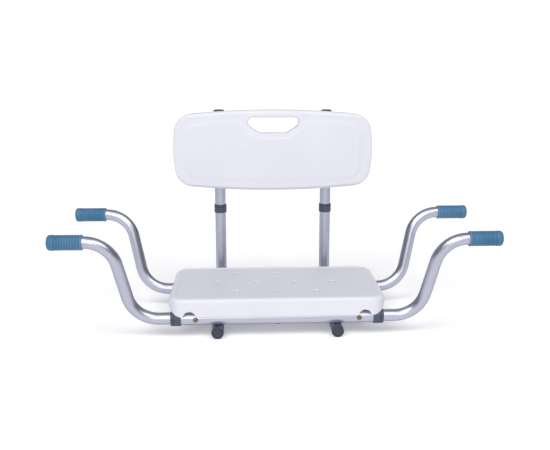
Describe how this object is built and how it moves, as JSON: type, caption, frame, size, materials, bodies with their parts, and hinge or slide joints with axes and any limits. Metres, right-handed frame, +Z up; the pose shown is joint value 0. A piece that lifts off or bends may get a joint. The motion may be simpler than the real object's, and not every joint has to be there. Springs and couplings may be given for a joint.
{
  "type": "bath transfer bench",
  "caption": "Seat board and plug-in backrest on an aluminium tube frame whose bent arms with grips hang on the rims of a bath.",
  "frame": {"origin": "on the floor, below the middle of the whole bench", "axes": "+X to the right along the cross tubes, +Y back towards the backrest, +Z up"},
  "size_m": [0.821, 0.3012, 0.4049],
  "materials": {
    "white_plastic": "satin blow-moulded polyethylene",
    "anodised_aluminium": "satin anodised",
    "blue_grip": "ribbed soft vinyl",
    "slate_plastic": "moulded",
    "dark_rubber": "moulded",
    "brass_button": "turned",
    "spring_steel": "rolled strip",
    "steel_fasteners": "zinc plated"
  },
  "bodies": {
    "frame": {"seat_board": "white_plastic", "front_cross_tube": "anodised_aluminium", "rear_cross_tube": "anodised_aluminium", "front_left_collar": "slate_plastic", "front_right_collar": "slate_plastic", "rear_left_collar": "slate_plastic", "rear_right_collar": "slate_plastic", "front_left_clip": "spring_steel", "front_right_clip": "spring_steel", "rear_left_clip": "spring_steel", "rear_right_clip": "spring_steel", "left_support_tube": "anodised_aluminium", "right_support_tube": "anodised_aluminium", "left_foot_plug": "dark_rubber", "right_foot_plug": "dark_rubber", "left_post_collar": "slate_plastic", "right_post_collar": "slate_plastic", "support_bolts": "steel_fasteners", "saddle_washers": "steel_fasteners", "seat_screws": "steel_fasteners", "threaded_inserts": "brass_button"},
    "front_left_arm_assembly": {"front_left_arm": "anodised_aluminium", "front_left_grip": "blue_grip"},
    "front_left_lock_button": {"front_left_button": "brass_button"},
    "front_right_arm_assembly": {"front_right_arm": "anodised_aluminium", "front_right_grip": "blue_grip"},
    "front_right_lock_button": {"front_right_button": "brass_button"},
    "rear_left_arm_assembly": {"rear_left_arm": "anodised_aluminium", "rear_left_grip": "blue_grip"},
    "rear_left_lock_button": {"rear_left_button": "brass_button"},
    "rear_right_arm_assembly": {"rear_right_arm": "anodised_aluminium", "rear_right_grip": "blue_grip"},
    "rear_right_lock_button": {"rear_right_button": "brass_button"},
    "backrest": {"backrest_board": "white_plastic", "left_backrest_post": "anodised_aluminium", "right_backrest_post": "anodised_aluminium", "left_post_cap": "dark_rubber", "right_post_cap": "dark_rubber", "backrest_screws": "steel_fasteners"}
  },
  "joints": [
    {"name": "front_left_arm_slide", "type": "slide", "parent": "frame", "child": "front_left_arm_assembly", "axis": [-1, 0, 0], "range_m": [0, 0.025]},
    {"name": "front_right_arm_slide", "type": "slide", "parent": "frame", "child": "front_right_arm_assembly", "axis": [1, 0, 0], "range_m": [0, 0.025]},
    {"name": "rear_left_arm_slide", "type": "slide", "parent": "frame", "child": "rear_left_arm_assembly", "axis": [-1, 0, 0], "range_m": [0, 0.025]},
    {"name": "rear_right_arm_slide", "type": "slide", "parent": "frame", "child": "rear_right_arm_assembly", "axis": [1, 0, 0], "range_m": [0, 0.025]},
    {"name": "front_left_button_press", "type": "slide", "parent": "frame", "child": "front_left_lock_button", "axis": [0, 1, 0], "range_m": [0, 0.0045], "stiffness_N_per_m": 700, "springref_m": -0.004, "deforming": ["front_left_clip"]},
    {"name": "front_right_button_press", "type": "slide", "parent": "frame", "child": "front_right_lock_button", "axis": [0, 1, 0], "range_m": [0, 0.0045], "stiffness_N_per_m": 700, "springref_m": -0.004, "deforming": ["front_right_clip"]},
    {"name": "rear_left_button_press", "type": "slide", "parent": "frame", "child": "rear_left_lock_button", "axis": [0, -1, 0], "range_m": [0, 0.0045], "stiffness_N_per_m": 700, "springref_m": -0.004, "deforming": ["rear_left_clip"]},
    {"name": "rear_right_button_press", "type": "slide", "parent": "frame", "child": "rear_right_lock_button", "axis": [0, -1, 0], "range_m": [0, 0.0045], "stiffness_N_per_m": 700, "springref_m": -0.004, "deforming": ["rear_right_clip"]},
    {"name": "backrest_lift", "type": "slide", "parent": "frame", "child": "backrest", "axis": [0, 0, 1], "range_m": [0, 0.08]}
  ]
}
